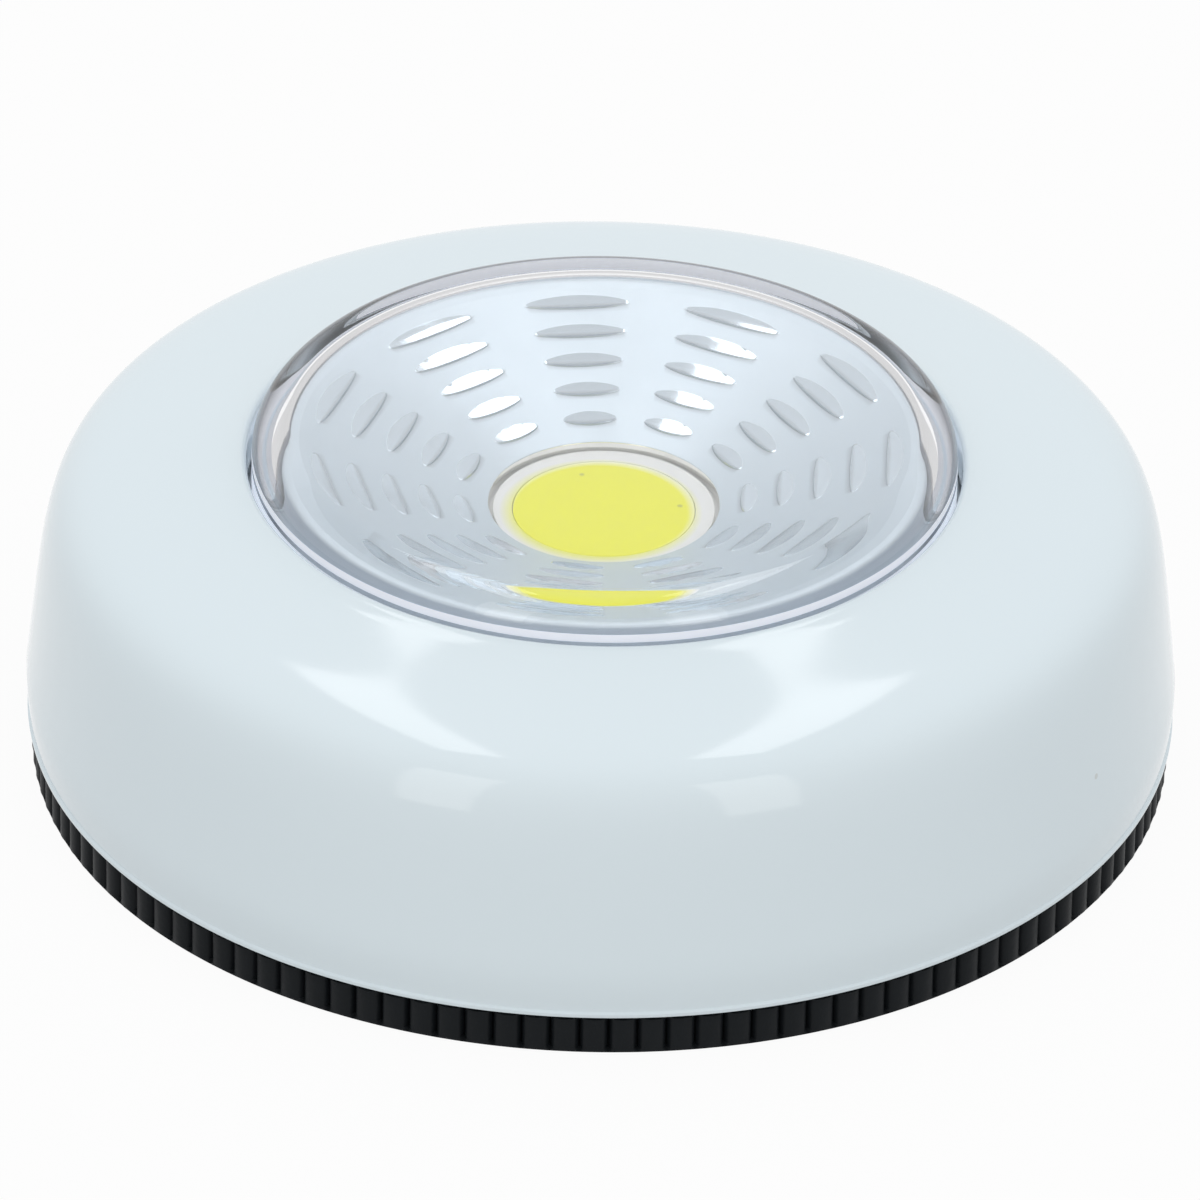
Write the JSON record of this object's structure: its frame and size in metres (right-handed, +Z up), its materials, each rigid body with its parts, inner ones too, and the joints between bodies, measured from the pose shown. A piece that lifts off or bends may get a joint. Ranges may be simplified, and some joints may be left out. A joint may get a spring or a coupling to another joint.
{
  "type": "puck light",
  "caption": "Round battery puck light: a tapered white housing on a ribbed black base, with a clear press-to-switch lens over a faceted reflector and a light source.",
  "frame": {"origin": "centre of the underside, on the face of the adhesive pad", "axes": "+Z up, out through the lens, along the axis of both the twist lock and the press switch; +X along the line through the two mounting holes; the side that the picture shows in front faces -Y"},
  "size_m": [0.075, 0.075, 0.0243],
  "materials": {
    "white_plastic": "glossy injection moulded cool white plastic",
    "black_plastic": "satin black moulded plastic",
    "grey_foam": "soft closed-cell foam tape, matt",
    "tray_plastic": "satin off-white moulded plastic",
    "clear_plastic": "clear polished plastic, see-through",
    "metallised_plastic": "vacuum-metallised plastic, bright and faceted",
    "cell_sleeve": "plain printed film sleeve, glossy",
    "nickel_plate": "nickel-plated spring steel",
    "zinc_steel": "zinc-plated steel",
    "board_laminate": "green glass-fibre board with a satin mask",
    "white_solder_mask": "white, satin",
    "phosphor_gel": "yellow silicone gel, smooth",
    "switch_plastic": "black moulded plastic",
    "resistor_lacquer": "tan lacquer",
    "red_lead": "red insulation",
    "black_lead": "black insulation"
  },
  "bodies": {
    "base": {"base_plate": "black_plastic", "adhesive_pad": "grey_foam"},
    "lamp_body": {"housing": "white_plastic", "battery_tray": "tray_plastic", "tray_screw_1": "zinc_steel", "tray_screw_2": "zinc_steel", "tray_screw_3": "zinc_steel", "battery_1": "cell_sleeve", "battery_2": "cell_sleeve", "battery_3": "cell_sleeve", "contact_spring_1": "nickel_plate", "contact_spring_2": "nickel_plate", "contact_spring_3": "nickel_plate", "link_plate_1": "nickel_plate", "link_plate_2": "nickel_plate", "positive_terminal": "nickel_plate", "negative_terminal": "nickel_plate", "switch_board": "board_laminate", "board_screw_1": "zinc_steel", "board_screw_2": "zinc_steel", "switch_body": "switch_plastic", "resistor": "resistor_lacquer", "battery_lead_red": "red_lead", "battery_lead_black": "black_lead", "return_spring_1": "zinc_steel", "return_spring_2": "zinc_steel", "return_spring_3": "zinc_steel", "led_lead_red": "red_lead", "led_lead_black": "black_lead"},
    "lamp_head": {"lens": "clear_plastic", "reflector": "metallised_plastic", "led_board": "white_solder_mask", "led_dam": "white_solder_mask", "led_phosphor": "phosphor_gel", "head_screw_1": "zinc_steel", "head_screw_2": "zinc_steel", "head_screw_3": "zinc_steel"},
    "switch_button": {"switch_plunger": "white_solder_mask"}
  },
  "joints": [
    {"name": "base_twist", "type": "hinge", "parent": "base", "child": "lamp_body", "pos_m": [0, 0, 0], "axis": [0, 0, 1], "range_deg": [0, 20]},
    {"name": "lens_press", "type": "slide", "parent": "lamp_body", "child": "lamp_head", "axis": [0, 0, -1], "range_m": [0, 0.0012], "stiffness_N_per_m": 1500, "springref_m": -0.001, "deforming": ["return_spring_1", "return_spring_2", "return_spring_3", "led_lead_red", "led_lead_black"]},
    {"name": "switch_press", "type": "slide", "parent": "lamp_body", "child": "switch_button", "axis": [0, 0, -1], "range_m": [0, 0.0012], "stiffness_N_per_m": 100, "springref_m": -0.0005}
  ],
  "couplings": [
    {"joint": "switch_press", "follows": "lens_press", "ratio": 1}
  ]
}
